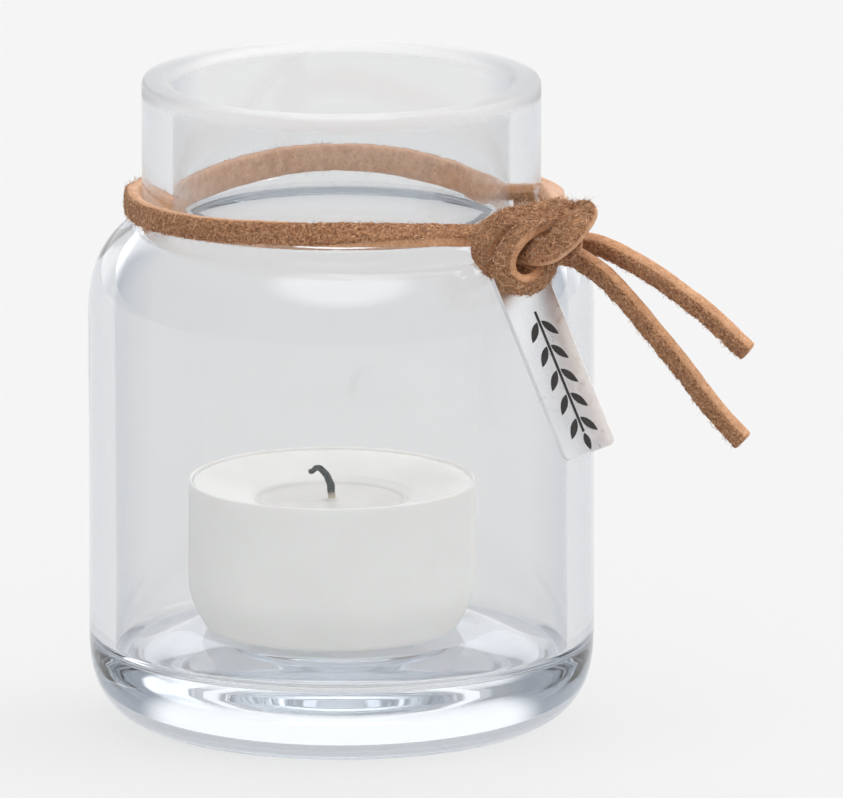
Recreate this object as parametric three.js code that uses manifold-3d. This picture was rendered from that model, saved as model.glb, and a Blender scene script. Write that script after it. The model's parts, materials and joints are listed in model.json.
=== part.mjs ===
// Tealight holder: a thick glass jar with a wide neck, a tealight standing inside it, and a leather
// lace knotted round the neck that carries a small metal tag.
//
// Millimetres, +Z up. The origin is the centre of the jar's flat underside, on the jar's axis.
// The front of the jar faces -Y, and the knot sits at the front right. Bearings round the jar are
// measured from the front, positive towards +X.

import * as THREE from 'three';
import { mergeVertices } from 'three/addons/utils/BufferGeometryUtils.js';
import Module from 'manifold-3d';

// ---- jar --------------------------------------------------------------------------------------
const JAR_HEIGHT = 86.5;
const BODY_RADIUS = 33.5;
const NECK_RADIUS = 26.4;
const BORE_RADIUS = 22.9;
const INNER_RADIUS = 30.0;
const FLOOR_Z = 12.4;
const HEEL = { across: 9.1, up: 10.4 };
const SHOULDER = { across: 10.7, up: 12.5, startZ: 56.2 };
const INNER_SHOULDER = { across: 8.6, up: 11.0, startZ: 55.6 };
const INNER_FLOOR_CORNER = { across: 5.0, up: 4.0 };
const NECK_FILLET = 1.0;
const RIM_EDGE = 0.5;
const JAR_SEGMENTS = 48;

// ---- tealight -----------------------------------------------------------------------------------
const GAP = 0.3;
const CANDLE_X = -1.3;
const CUP_RADIUS = 19.0;
const CUP_FOOT_RADIUS = 17.2;
const CUP_TAPER_HEIGHT = 6.6;
const CUP_HEIGHT = 20.0;
const CUP_WALL = 0.5;
const CUP_Z = FLOOR_Z + GAP;
const WAX_RIM_DROP = 0.5;
const WAX_LIP = 1.0;
const POOL_RADIUS = 9.9;
const POOL_DROP = 3.0;
const WICK_RADIUS = 0.55;
const WICK_HOLE_RADIUS = 0.9;
const SUSTAINER_RADIUS = 6.0;
const SUSTAINER_THICKNESS = 0.3;
const COLLAR_RADIUS = 1.3;
const COLLAR_HEIGHT = 3.0;
const CANDLE_SEGMENTS = 36;

// ---- lace ---------------------------------------------------------------------------------------
const LACE_WIDTH = 3.1;
const LACE_THICKNESS = 2.0;
const LACE_CORNER = 0.5;

// ---- tag ----------------------------------------------------------------------------------------
const TAG_LENGTH = 26.6;
const TAG_WIDTH = 8.6;
const TAG_THICKNESS = 0.8;
const TAG_CORNER = 1.0;
const TAG_HOLE_RADIUS = 2.0;
const TAG_HOLE_FROM_TOP = 3.1;
const TAG_HOLE = new THREE.Vector3(23.9, -25.3, 63.7);
const TAG_BEARING = 37;
const TAG_LEAN = 25;
const TAG_TILT = 9;

const wasm = await Module();
wasm.setup();

const part = new THREE.Group();

function degrees(angle) {
  return THREE.MathUtils.degToRad(angle);
}

function addMesh(name, geometry, colour, roughness, metalness, extra = {}) {
  const material = new THREE.MeshStandardMaterial({ color: colour, roughness, metalness, ...extra });
  const mesh = new THREE.Mesh(geometry, material);
  mesh.name = name;
  part.add(mesh);
  return mesh;
}

// Points [radius, height] on a quarter of an ellipse or less, between two angles from the radius axis.
function arc(centreR, centreZ, across, up, fromAngle, toAngle, count) {
  const points = [];
  for (let i = 0; i <= count; i += 1) {
    const angle = degrees(fromAngle + ((toAngle - fromAngle) * i) / count);
    points.push([centreR + across * Math.cos(angle), centreZ + up * Math.sin(angle)]);
  }
  return points;
}

// A body turned about +Z from [radius, height] points.
function turned(points, segments) {
  const profile = points.map(([radius, height]) => new THREE.Vector2(radius, height));
  const geometry = new THREE.LatheGeometry(profile, segments);
  geometry.rotateX(Math.PI / 2);
  return geometry;
}

function jarProfile() {
  const heel = arc(BODY_RADIUS - HEEL.across, HEEL.up, HEEL.across, HEEL.up, -90, 0, 8);
  const shoulderCentre = BODY_RADIUS - SHOULDER.across;
  const shoulderEndCos = (NECK_RADIUS + NECK_FILLET - shoulderCentre) / SHOULDER.across;
  const shoulderEnd = THREE.MathUtils.radToDeg(Math.acos(shoulderEndCos));
  const shoulder = arc(
    shoulderCentre, SHOULDER.startZ, SHOULDER.across, SHOULDER.up, 0, shoulderEnd, 8,
  );
  const neckStartZ = shoulder[shoulder.length - 1][1] + 1.3 * NECK_FILLET;
  const innerCentre = INNER_RADIUS - INNER_SHOULDER.across;
  const innerEnd = THREE.MathUtils.radToDeg(Math.acos((BORE_RADIUS - innerCentre) / INNER_SHOULDER.across));
  const innerShoulder = arc(
    innerCentre, INNER_SHOULDER.startZ, INNER_SHOULDER.across, INNER_SHOULDER.up, innerEnd, 0, 6,
  );
  const floorCorner = arc(
    INNER_RADIUS - INNER_FLOOR_CORNER.across, FLOOR_Z + INNER_FLOOR_CORNER.up,
    INNER_FLOOR_CORNER.across, INNER_FLOOR_CORNER.up, 0, -90, 5,
  );
  return [
    [0, 0],
    ...heel,
    ...shoulder,
    [NECK_RADIUS + 0.25 * NECK_FILLET, neckStartZ - 0.55 * NECK_FILLET],
    [NECK_RADIUS, neckStartZ],
    [NECK_RADIUS, JAR_HEIGHT - 2 * RIM_EDGE],
    [NECK_RADIUS - 0.3 * RIM_EDGE, JAR_HEIGHT - 0.6 * RIM_EDGE],
    [NECK_RADIUS - RIM_EDGE, JAR_HEIGHT],
    [BORE_RADIUS + RIM_EDGE, JAR_HEIGHT],
    [BORE_RADIUS, JAR_HEIGHT - RIM_EDGE],
    ...innerShoulder,
    ...floorCorner,
    [0, FLOOR_Z],
  ];
}

function cupProfile() {
  const rimZ = CUP_Z + CUP_HEIGHT;
  const innerRadius = CUP_RADIUS - CUP_WALL;
  return [
    [0, CUP_Z],
    [CUP_FOOT_RADIUS - 0.8, CUP_Z],
    [CUP_FOOT_RADIUS, CUP_Z + 0.6],
    [CUP_RADIUS - 0.4, CUP_Z + 0.6 * CUP_TAPER_HEIGHT],
    [CUP_RADIUS, CUP_Z + CUP_TAPER_HEIGHT],
    [CUP_RADIUS, rimZ],
    [innerRadius, rimZ],
    [innerRadius, CUP_Z + CUP_TAPER_HEIGHT],
    [innerRadius - 0.4, CUP_Z + 0.6 * CUP_TAPER_HEIGHT],
    [CUP_FOOT_RADIUS - CUP_WALL, CUP_Z + 0.8],
    [CUP_FOOT_RADIUS - CUP_WALL - 0.6, CUP_Z + CUP_WALL],
    [0, CUP_Z + CUP_WALL],
  ];
}

// The wax fills the cup round the wick, with a recess below for the sustainer and its collar.
function waxProfile() {
  const bottom = CUP_Z + CUP_WALL + GAP;
  const top = CUP_Z + CUP_HEIGHT - WAX_RIM_DROP;
  const pool = CUP_Z + CUP_HEIGHT - POOL_DROP;
  const wall = CUP_RADIUS - CUP_WALL - GAP;
  const foot = CUP_FOOT_RADIUS - CUP_WALL - GAP;
  const recess = bottom + SUSTAINER_THICKNESS + GAP;
  const collarRecess = bottom + COLLAR_HEIGHT + GAP;
  return [
    [SUSTAINER_RADIUS + GAP, bottom],
    [foot - 0.9, bottom],
    [foot - 0.1, CUP_Z + 1.2],
    [wall - 0.4, CUP_Z + 0.62 * CUP_TAPER_HEIGHT],
    [wall, CUP_Z + 1.02 * CUP_TAPER_HEIGHT],
    [wall, top],
    [wall - WAX_LIP, top],
    [0.5 * (wall + POOL_RADIUS), 0.5 * (top + pool)],
    [POOL_RADIUS, pool],
    [WICK_HOLE_RADIUS, pool],
    [WICK_HOLE_RADIUS, collarRecess],
    [COLLAR_RADIUS + GAP, collarRecess],
    [COLLAR_RADIUS + GAP, recess],
    [SUSTAINER_RADIUS + GAP, recess],
    [SUSTAINER_RADIUS + GAP, bottom],
  ];
}

function sustainerProfile() {
  const bottom = CUP_Z + CUP_WALL + GAP;
  return [
    [WICK_HOLE_RADIUS, bottom],
    [SUSTAINER_RADIUS, bottom],
    [SUSTAINER_RADIUS, bottom + SUSTAINER_THICKNESS],
    [COLLAR_RADIUS, bottom + SUSTAINER_THICKNESS],
    [COLLAR_RADIUS, bottom + COLLAR_HEIGHT],
    [WICK_HOLE_RADIUS, bottom + COLLAR_HEIGHT],
    [WICK_HOLE_RADIUS, bottom],
  ];
}

// A body with a chamfered rectangular section swept along a smooth curve through the points. The
// section's width starts out along the given direction.
function swept(points, width, thickness, corner, widthDirection, steps) {
  const curve = new THREE.CatmullRomCurve3(points.map((p) => new THREE.Vector3(...p)));
  const frames = curve.computeFrenetFrames(steps, false);
  const direction = new THREE.Vector3(...widthDirection);
  const roll = Math.atan2(direction.dot(frames.binormals[0]), direction.dot(frames.normals[0]));
  const a = width / 2;
  const b = thickness / 2;
  const outline = [
    [a, corner - b], [a, b - corner], [a - corner, b], [corner - a, b],
    [-a, b - corner], [-a, corner - b], [corner - a, -b], [a - corner, -b],
  ];
  const pivot = new THREE.Vector2(0, 0);
  const section = new THREE.Shape(outline.map(([x, y]) => new THREE.Vector2(x, y).rotateAround(pivot, roll)));
  return new THREE.ExtrudeGeometry(section, { steps, extrudePath: curve, bevelEnabled: false });
}

function toSolid(geometry) {
  const bare = geometry.clone();
  bare.deleteAttribute('normal');
  bare.deleteAttribute('uv');
  const merged = mergeVertices(bare, 1e-4);
  const mesh = new wasm.Mesh({
    numProp: 3,
    vertProperties: new Float32Array(merged.attributes.position.array),
    triVerts: new Uint32Array(merged.index.array),
  });
  return new wasm.Manifold(mesh);
}

function toGeometry(solid) {
  const mesh = solid.getMesh();
  const geometry = new THREE.BufferGeometry();
  geometry.setAttribute('position', new THREE.BufferAttribute(mesh.vertProperties, 3));
  geometry.setIndex(new THREE.BufferAttribute(mesh.triVerts, 1));
  geometry.computeVertexNormals();
  return geometry;
}

// ---- glass jar ----------------------------------------------------------------------------------
addMesh('glass_jar', turned(jarProfile(), JAR_SEGMENTS), 0xe6ebee, 0.03, 0, {
  transparent: true,
  opacity: 0.35,
});

// ---- tealight -----------------------------------------------------------------------------------
const WICK_BASE_Z = CUP_Z + CUP_WALL + GAP;
const POOL_Z = CUP_Z + CUP_HEIGHT - POOL_DROP;
// The burnt end of the wick above the pool, as [to the right of the wick's foot, above the pool].
const WICK_CURL = [
  [0, 0], [-0.1, 1.2], [-0.25, 2.2], [-0.85, 3.4], [-1.5, 4.1], [-2.15, 4.15], [-2.65, 3.75], [-3.1, 3.8],
];
const wickPoints = [
  [0, 0, WICK_BASE_Z],
  [0, 0, (WICK_BASE_Z + POOL_Z) / 2],
  ...WICK_CURL.map(([right, above]) => [right, 0, POOL_Z + above]),
];

const candle = [
  addMesh('candle_cup', turned(cupProfile(), CANDLE_SEGMENTS), 0xdfe2e2, 0.1, 0, {
    transparent: true,
    opacity: 0.4,
  }),
  addMesh('candle_wax', turned(waxProfile(), CANDLE_SEGMENTS), 0xf4f3ef, 0.45, 0),
  addMesh('wick_sustainer', turned(sustainerProfile(), CANDLE_SEGMENTS), 0xb9bcc0, 0.35, 1),
  addMesh('wick', swept(wickPoints, 2 * WICK_RADIUS, 2 * WICK_RADIUS, 0.32, [1, 0, 0], 22), 0x3a3f3d, 0.9, 0),
];
for (const mesh of candle) {
  mesh.position.x = CANDLE_X;
}

// ---- lace ---------------------------------------------------------------------------------------
const LEATHER = 0x9a6a48;
const LEATHER_ROUGHNESS = 0.85;

// The turn round the neck as [bearing, radius, height], from the knot's left side, across the front,
// round the left, the back and the right, and down into the knot.
const LOOP = [
  [37, 28.8, 70.3], [28, 28.2, 70.8], [14, 27.75, 71.3], [0, 27.7, 71.4], [-18, 27.7, 71.1],
  [-36, 27.7, 70.7], [-54, 27.7, 70.4], [-72, 27.7, 70.1], [-90, 27.7, 70.0], [-108, 27.7, 69.9],
  [-126, 27.7, 69.9], [-144, 27.7, 69.9], [-162, 27.7, 69.9], [-180, 27.7, 69.9], [-198, 27.7, 70.2],
  [-216, 27.7, 70.8], [-234, 27.7, 71.6], [-252, 27.7, 72.6], [-270, 27.75, 73.4], [-284, 28.1, 73.7],
  [-292, 29.0, 73.6], [-297, 30.3, 73.0],
];
const loopPoints = LOOP.map(([bearing, radius, height]) => [
  radius * Math.sin(degrees(bearing)),
  -radius * Math.cos(degrees(bearing)),
  height,
]);
const loop = swept(loopPoints, LACE_WIDTH, LACE_THICKNESS, LACE_CORNER, [0, 0, 1], 76);
addMesh('lace_loop', loop, LEATHER, LEATHER_ROUGHNESS, 0);

// The knot: both ends of the lace turn once round their standing parts and come out at the right.
// Each strand is a list of points chosen by hand.
const KNOT_STRANDS = [
  {
    // outer turn, down the left side of the knot
    points: [
      [28.4, -15.4, 71.4], [27.1, -18.2, 72.2], [25.2, -21.7, 72.3], [22.8, -24.4, 72.4],
      [20.6, -26.5, 71.8], [19.2, -27.9, 70.5], [19.1, -28.7, 69.0], [19.9, -28.9, 67.5],
      [21.3, -28.7, 66.2], [22.9, -28.2, 65.4],
    ],
    width: 2.6, thickness: 2.2, steps: 22,
  },
  {
    // inner turn, beside it and round the bottom of the eye
    points: [
      [28.3, -18.4, 71.2], [26.9, -21.6, 71.3], [24.7, -24.9, 70.8], [22.7, -27.5, 69.9],
      [21.5, -28.9, 68.8], [21.8, -29.2, 67.4], [23.1, -28.9, 66.3], [24.7, -28.0, 65.8],
      [26.1, -26.4, 66.2], [27.0, -24.8, 67.2],
    ],
    width: 2.4, thickness: 2.2, steps: 24,
  },
  {
    // the wide pass out of the eye, over the right side and round behind
    points: [
      [23.8, -26.6, 67.7], [25.2, -26.9, 68.1], [26.9, -26.2, 68.6], [28.7, -24.8, 69.4],
      [30.3, -22.6, 70.4], [31.5, -19.9, 71.6], [31.9, -17.2, 72.2], [31.0, -15.6, 72.1],
      [29.5, -15.2, 71.5], [27.8, -15.6, 71.0],
    ],
    width: 3.6, thickness: 2.0, steps: 22,
  },
  {
    // standing parts behind the turns
    points: [
      [19.9, -23.2, 70.1], [21.7, -22.3, 69.8], [23.9, -20.7, 69.6], [26.0, -18.7, 70.1],
      [27.5, -16.9, 71.0], [28.2, -15.8, 71.4],
    ],
    width: 3.0, thickness: 2.2, steps: 12,
  },
  {
    // the strand that goes back through the tag's hole and up behind the tag
    points: [
      [22.3, -28.7, 65.5], [23.1, -27.8, 64.7], [23.7, -26.2, 64.0], [23.9, -25.3, 63.7],
      [24.1, -24.2, 63.3], [24.4, -22.7, 63.8], [24.8, -21.5, 65.0], [25.3, -20.5, 66.6],
      [25.7, -19.5, 68.3], [26.0, -18.7, 69.9],
    ],
    width: 2.1, thickness: 1.8, steps: 22,
  },
];
const knotSolid = KNOT_STRANDS
  .map(({ points, width, thickness, steps }) => toSolid(
    swept(points, width, thickness, LACE_CORNER, [0, 0, 1], steps),
  ))
  .reduce((joined, strand) => joined.add(strand));
addMesh('lace_knot', toGeometry(knotSolid), LEATHER, LEATHER_ROUGHNESS, 0);

// The two ends, stiff enough to stand out from the knot on their own.
const UPPER_TAIL = [
  [30.0, -17.2, 68.3], [31.9, -18.6, 68.3], [34.3, -21.0, 68.2], [36.9, -23.4, 67.5], [39.5, -25.3, 66.4],
  [42.2, -27.0, 65.0], [44.8, -28.4, 63.3], [47.5, -29.6, 61.5], [49.5, -30.5, 59.9], [51.7, -31.4, 57.9],
  [53.4, -32.0, 56.4],
];
const LOWER_TAIL = [
  [28.9, -20.6, 67.2], [30.8, -22.2, 67.0], [32.9, -23.8, 66.1], [35.0, -25.2, 64.7], [36.9, -26.4, 62.9],
  [38.9, -27.5, 60.8], [40.8, -28.5, 58.6], [43.2, -29.6, 55.9], [45.5, -30.5, 53.1], [47.5, -31.3, 50.5],
  [49.5, -32.0, 48.1], [51.2, -32.6, 46.3], [52.8, -33.1, 44.7],
];
const upperTail = swept(UPPER_TAIL, 3.0, 2.0, LACE_CORNER, [0, 0, 1], 12);
addMesh('lace_tail_upper', upperTail, LEATHER, LEATHER_ROUGHNESS, 0);
const lowerTail = swept(LOWER_TAIL, 3.0, 2.0, LACE_CORNER, [0, 0, 1], 14);
addMesh('lace_tail_lower', lowerTail, LEATHER, LEATHER_ROUGHNESS, 0);

// ---- tag ----------------------------------------------------------------------------------------
// A plate with the centre of its hole at the origin, its length along Y and its face towards +Z.
function tagPlate() {
  const right = TAG_WIDTH / 2;
  const top = TAG_HOLE_FROM_TOP;
  const bottom = TAG_HOLE_FROM_TOP - TAG_LENGTH;
  const plate = new THREE.Shape();
  plate.moveTo(-right + TAG_CORNER, bottom);
  plate.lineTo(right - TAG_CORNER, bottom);
  plate.absarc(right - TAG_CORNER, bottom + TAG_CORNER, TAG_CORNER, -Math.PI / 2, 0);
  plate.lineTo(right, top - TAG_CORNER);
  plate.absarc(right - TAG_CORNER, top - TAG_CORNER, TAG_CORNER, 0, Math.PI / 2);
  plate.lineTo(-right + TAG_CORNER, top);
  plate.absarc(-right + TAG_CORNER, top - TAG_CORNER, TAG_CORNER, Math.PI / 2, Math.PI);
  plate.lineTo(-right, bottom + TAG_CORNER);
  plate.absarc(-right + TAG_CORNER, bottom + TAG_CORNER, TAG_CORNER, Math.PI, 1.5 * Math.PI);
  const hole = new THREE.Path();
  hole.absarc(0, 0, TAG_HOLE_RADIUS, 0, 2 * Math.PI, true);
  plate.holes.push(hole);
  const options = { depth: TAG_THICKNESS, bevelEnabled: false, curveSegments: 6 };
  return new THREE.ExtrudeGeometry(plate, options).translate(0, 0, -TAG_THICKNESS / 2);
}

const bearing = degrees(TAG_BEARING);
const lean = degrees(TAG_LEAN);
const tilt = degrees(TAG_TILT);
const faceNormal = new THREE.Vector3(
  Math.sin(bearing) * Math.cos(lean), -Math.cos(bearing) * Math.cos(lean), Math.sin(lean),
);
const across = new THREE.Vector3(Math.cos(bearing), Math.sin(bearing), 0);
const upSlope = new THREE.Vector3().crossVectors(faceNormal, across);
const tag = addMesh('tag', tagPlate(), 0xd9dadb, 0.3, 1);
tag.quaternion.setFromRotationMatrix(new THREE.Matrix4().makeBasis(across, upSlope, faceNormal));
tag.rotateZ(tilt);
tag.position.copy(TAG_HOLE);

export default part;
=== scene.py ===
"""Looks for the tealight holder: fine glass, wax, wick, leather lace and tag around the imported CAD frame."""

import json
import math
import random

import bpy
import numpy as np
from mathutils import Matrix, Vector, noise


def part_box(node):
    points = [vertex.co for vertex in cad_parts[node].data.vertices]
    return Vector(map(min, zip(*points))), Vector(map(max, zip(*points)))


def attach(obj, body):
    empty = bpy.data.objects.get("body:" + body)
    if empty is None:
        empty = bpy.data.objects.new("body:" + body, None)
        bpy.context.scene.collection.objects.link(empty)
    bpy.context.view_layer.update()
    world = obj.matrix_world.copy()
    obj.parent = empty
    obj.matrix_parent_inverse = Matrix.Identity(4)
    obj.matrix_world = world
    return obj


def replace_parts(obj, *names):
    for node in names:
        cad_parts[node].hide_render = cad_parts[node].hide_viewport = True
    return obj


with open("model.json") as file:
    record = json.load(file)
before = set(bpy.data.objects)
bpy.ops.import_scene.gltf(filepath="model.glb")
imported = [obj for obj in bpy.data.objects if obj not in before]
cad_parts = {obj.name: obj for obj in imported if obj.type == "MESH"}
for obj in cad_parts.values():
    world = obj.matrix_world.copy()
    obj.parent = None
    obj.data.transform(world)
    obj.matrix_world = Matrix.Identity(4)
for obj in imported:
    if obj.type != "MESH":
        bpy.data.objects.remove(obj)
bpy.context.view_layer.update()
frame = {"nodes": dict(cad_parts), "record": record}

MM = 0.001

# ---- places and sizes, in millimetres unless said otherwise --------------------------------------
JAR_HIGH = Vector(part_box("glass_jar")[1]) / MM
CUP_LOW, CUP_HIGH = (Vector(corner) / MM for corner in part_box("candle_cup"))
JAR_HEIGHT = JAR_HIGH.z
BODY_RADIUS = JAR_HIGH.x
NECK_RADIUS = 26.4
BORE_RADIUS = 22.3
INNER_RADIUS = 30.0
FLOOR_Z = 12.4
CANDLE_X = (CUP_LOW.x + CUP_HIGH.x) / 2
CUP_RADIUS = (CUP_HIGH.x - CUP_LOW.x) / 2
CUP_RIM_Z = CUP_HIGH.z

LACE_WIDTH = 3.1
LACE_THICKNESS = 2.0
TAIL_WIDTH = 2.8

JOINTS = {joint["name"]: joint for joint in frame["record"]["behaviour"]["joints"]}
TAG_HOLE = Vector(JOINTS["tag_swing"]["pos_m"]) / MM
TAG_NORMAL = Vector(JOINTS["tag_swing"]["axis"]).normalized()
TAG_TILT = math.radians(9)

# ---- camera ---------------------------------------------------------------------------------------
CAMERA_DISTANCE = 3.0
CAMERA_ELEVATION = math.radians(12.4)
AIM = Vector((10.6, 0, 43.1)) * MM
VIEW_WIDTH = 0.11166
SENSOR_WIDTH = 36


def make_camera():
    data = bpy.data.cameras.new("camera")
    data.sensor_width = SENSOR_WIDTH
    data.lens = SENSOR_WIDTH * CAMERA_DISTANCE / VIEW_WIDTH
    data.clip_end = 50
    camera = bpy.data.objects.new("camera", data)
    towards = Vector((0, -math.cos(CAMERA_ELEVATION), math.sin(CAMERA_ELEVATION)))
    camera.location = AIM + CAMERA_DISTANCE * towards
    camera.rotation_euler = (math.pi / 2 - CAMERA_ELEVATION, 0, 0)
    bpy.context.scene.collection.objects.link(camera)
    bpy.context.scene.camera = camera


# ---- node helpers ---------------------------------------------------------------------------------
class Material:
    """A node material being built: add() makes a node, and link() joins two sockets."""

    def __init__(self, name):
        self.material = bpy.data.materials.new(name)
        self.material.use_nodes = True
        self.tree = self.material.node_tree
        self.shader = self.tree.nodes["Principled BSDF"]
        self.output = self.tree.nodes["Material Output"]
        self.coordinates = self.add("ShaderNodeTexCoord")

    def add(self, kind, **settings):
        node = self.tree.nodes.new(kind)
        for key, value in settings.items():
            if hasattr(node, key):
                setattr(node, key, value)
            else:
                node.inputs[key.replace("_", " ").title()].default_value = value
        return node

    def link(self, source, target):
        self.tree.links.new(source, target)

    def set(self, **values):
        for key, value in values.items():
            self.shader.inputs[key.replace("_", " ")].default_value = value

    def noise(self, scale, detail=4.0, roughness=0.55, stretch=(1, 1, 1), distortion=0.0):
        """Noise with scale features per millimetre, stretched along the object's axes."""
        mapping = self.add("ShaderNodeMapping")
        mapping.inputs["Scale"].default_value = stretch
        self.link(self.coordinates.outputs["Object"], mapping.inputs["Vector"])
        node = self.add("ShaderNodeTexNoise")
        node.inputs["Scale"].default_value = scale / MM
        node.inputs["Detail"].default_value = detail
        node.inputs["Roughness"].default_value = roughness
        node.inputs["Distortion"].default_value = distortion
        self.link(mapping.outputs["Vector"], node.inputs["Vector"])
        return node.outputs["Fac"]

    def ramp(self, value, stops):
        node = self.add("ShaderNodeValToRGB")
        elements = node.color_ramp.elements
        while len(elements) < len(stops):
            elements.new(0.5)
        for element, (place, colour) in zip(elements, stops):
            element.position = place
            element.color = colour if len(colour) == 4 else (*colour, 1)
        self.link(value, node.inputs["Fac"])
        return node.outputs["Color"]

    def math(self, operation, a, b):
        node = self.add("ShaderNodeMath", operation=operation)
        for socket, value in zip(node.inputs, (a, b)):
            if isinstance(value, (int, float)):
                socket.default_value = value
            else:
                self.link(value, socket)
        return node.outputs["Value"]

    def mix(self, factor, a, b, blend_type="MIX"):
        node = self.add("ShaderNodeMix", data_type="RGBA", blend_type=blend_type)
        for socket, value in zip((node.inputs[0], node.inputs[6], node.inputs[7]), (factor, a, b)):
            if isinstance(value, (int, float)):
                socket.default_value = value
            elif isinstance(value, tuple):
                socket.default_value = (*value, 1)
            else:
                self.link(value, socket)
        return node.outputs[2]

    def bump(self, height, distance, strength=1.0, normal=None):
        node = self.add("ShaderNodeBump")
        node.inputs["Distance"].default_value = distance * MM
        node.inputs["Strength"].default_value = strength
        self.link(height, node.inputs["Height"])
        if normal is not None:
            self.link(normal, node.inputs["Normal"])
        return node.outputs["Normal"]

    def attribute(self, name):
        return self.add("ShaderNodeAttribute", attribute_name=name).outputs["Fac"]

    def let_lamps_through(self, colour):
        """Light reaches what is behind the glass, as it does through a real thin wall."""
        path = self.add("ShaderNodeLightPath")
        clear = self.add("ShaderNodeBsdfTransparent")
        clear.inputs["Color"].default_value = (*colour, 1)
        surface = self.shader.outputs["BSDF"]
        for ray in ("Is Shadow Ray", "Is Diffuse Ray"):
            mixer = self.add("ShaderNodeMixShader")
            self.link(path.outputs[ray], mixer.inputs["Fac"])
            self.link(surface, mixer.inputs[1])
            self.link(clear.outputs["BSDF"], mixer.inputs[2])
            surface = mixer.outputs["Shader"]
        self.link(surface, self.output.inputs["Surface"])


# ---- materials ------------------------------------------------------------------------------------
def glass_material():
    m = Material("jar_glass")
    m.set(Transmission_Weight=1.0, IOR=1.5)
    clouds = m.noise(0.02, 3, 0.5)
    # Painted shade: the glass colour darkens and turns bluish towards the outline, where the view grazes the
    # walls, standing in for dark surroundings seen in the walls, on top of the real absorption in the glass.
    facing = m.add("ShaderNodeLayerWeight")
    facing.inputs["Blend"].default_value = 0.5
    painted_edge_shade = m.ramp(
        facing.outputs["Facing"],
        [(0.45, (1, 1, 1)), (0.60, (0.85, 0.87, 0.90)), (0.82, (0.68, 0.72, 0.78))],
    )
    clear = m.ramp(clouds, [(0.3, (0.885, 0.888, 0.892)), (0.7, (0.905, 0.908, 0.912))])
    ground = m.attribute("ground")
    # The plain glass tint times the painted edge shade; on the ground rim both give way to the frosted grey.
    tint_and_painted_edge_shade = m.mix(1.0, clear, painted_edge_shade, "MULTIPLY")
    m.link(m.mix(ground, tint_and_painted_edge_shade, (0.97, 0.97, 0.97)), m.shader.inputs["Base Color"])
    m.link(m.math("SUBTRACT", 1.0, m.math("MULTIPLY", ground, 0.35)), m.shader.inputs["Transmission Weight"])
    smears = m.ramp(m.noise(0.05, 5, 0.6, (1, 1, 2.5)), [(0.35, (0.0,) * 3), (0.75, (0.02,) * 3)])
    m.link(m.mix(ground, smears, (0.60,) * 3), m.shader.inputs["Roughness"])
    m.link(m.bump(m.noise(0.02, 1.0, 0.3, (1, 1, 0.5)), 0.015), m.shader.inputs["Normal"])
    absorb = m.add("ShaderNodeVolumeAbsorption")
    absorb.inputs["Color"].default_value = (0.59, 0.64, 0.70, 1)
    absorb.inputs["Density"].default_value = 12.0
    m.link(absorb.outputs["Volume"], m.output.inputs["Volume"])
    m.let_lamps_through((0.99, 0.99, 0.99))
    return m.material


def cup_material():
    m = Material("cup_plastic")
    m.set(Transmission_Weight=0.35, IOR=1.2, Subsurface_Weight=0.3, Subsurface_Scale=0.002)
    milk = m.ramp(m.noise(0.15, 4), [(0.3, (0.93, 0.91, 0.89)), (0.7, (0.97, 0.95, 0.93))])
    m.link(milk, m.shader.inputs["Base Color"])
    frost = m.ramp(m.noise(0.6, 4), [(0.3, (0.42,) * 3), (0.7, (0.55,) * 3)])
    m.link(frost, m.shader.inputs["Roughness"])
    m.link(m.bump(m.noise(0.25, 2), 0.02), m.shader.inputs["Normal"])
    m.let_lamps_through((0.97, 0.97, 0.97))
    return m.material


def wax_material():
    m = Material("wax")
    pool = m.attribute("pool")
    clouds = m.noise(0.12, 5)
    white = m.ramp(clouds, [(0.3, (0.74, 0.74, 0.715)), (0.7, (0.81, 0.81, 0.785))])
    warm = m.ramp(clouds, [(0.3, (0.63, 0.62, 0.595)), (0.7, (0.68, 0.67, 0.645))])
    m.link(m.mix(pool, white, warm), m.shader.inputs["Base Color"])
    m.set(Subsurface_Weight=0.6, Subsurface_Scale=0.002, IOR=1.43)
    m.shader.inputs["Subsurface Radius"].default_value = (1.0, 0.95, 0.85)
    sheen = m.ramp(m.noise(0.5, 3), [(0.3, (0.30,) * 3), (0.7, (0.48,) * 3)])
    m.link(sheen, m.shader.inputs["Roughness"])
    fine = m.bump(m.noise(1.6, 3), 0.02)
    m.link(m.bump(m.noise(0.22, 3), 0.12, normal=fine), m.shader.inputs["Normal"])
    return m.material


def wick_material():
    m = Material("wick_cotton")
    fibres = m.noise(3.0, 4)
    charred = m.ramp(
        fibres,
        [(0.35, (0.012, 0.016, 0.016)), (0.62, (0.075, 0.09, 0.09)), (0.78, (0.33, 0.34, 0.32))],
    )
    cotton = m.ramp(fibres, [(0.3, (0.42, 0.36, 0.27)), (0.7, (0.70, 0.64, 0.52))])
    m.link(m.mix(m.attribute("burnt"), cotton, charred), m.shader.inputs["Base Color"])
    m.set(Roughness=0.9)
    m.link(m.bump(fibres, 0.08), m.shader.inputs["Normal"])
    return m.material


def steel_material():
    m = Material("sustainer_steel")
    steel = m.ramp(m.noise(0.8, 4), [(0.3, (0.50, 0.51, 0.53)), (0.7, (0.66, 0.67, 0.69))])
    m.link(steel, m.shader.inputs["Base Color"])
    m.set(Metallic=1.0)
    m.link(m.ramp(m.noise(1.5, 3), [(0.3, (0.25,) * 3), (0.7, (0.42,) * 3)]), m.shader.inputs["Roughness"])
    m.link(m.bump(m.noise(2.0, 2), 0.02), m.shader.inputs["Normal"])
    return m.material


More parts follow.
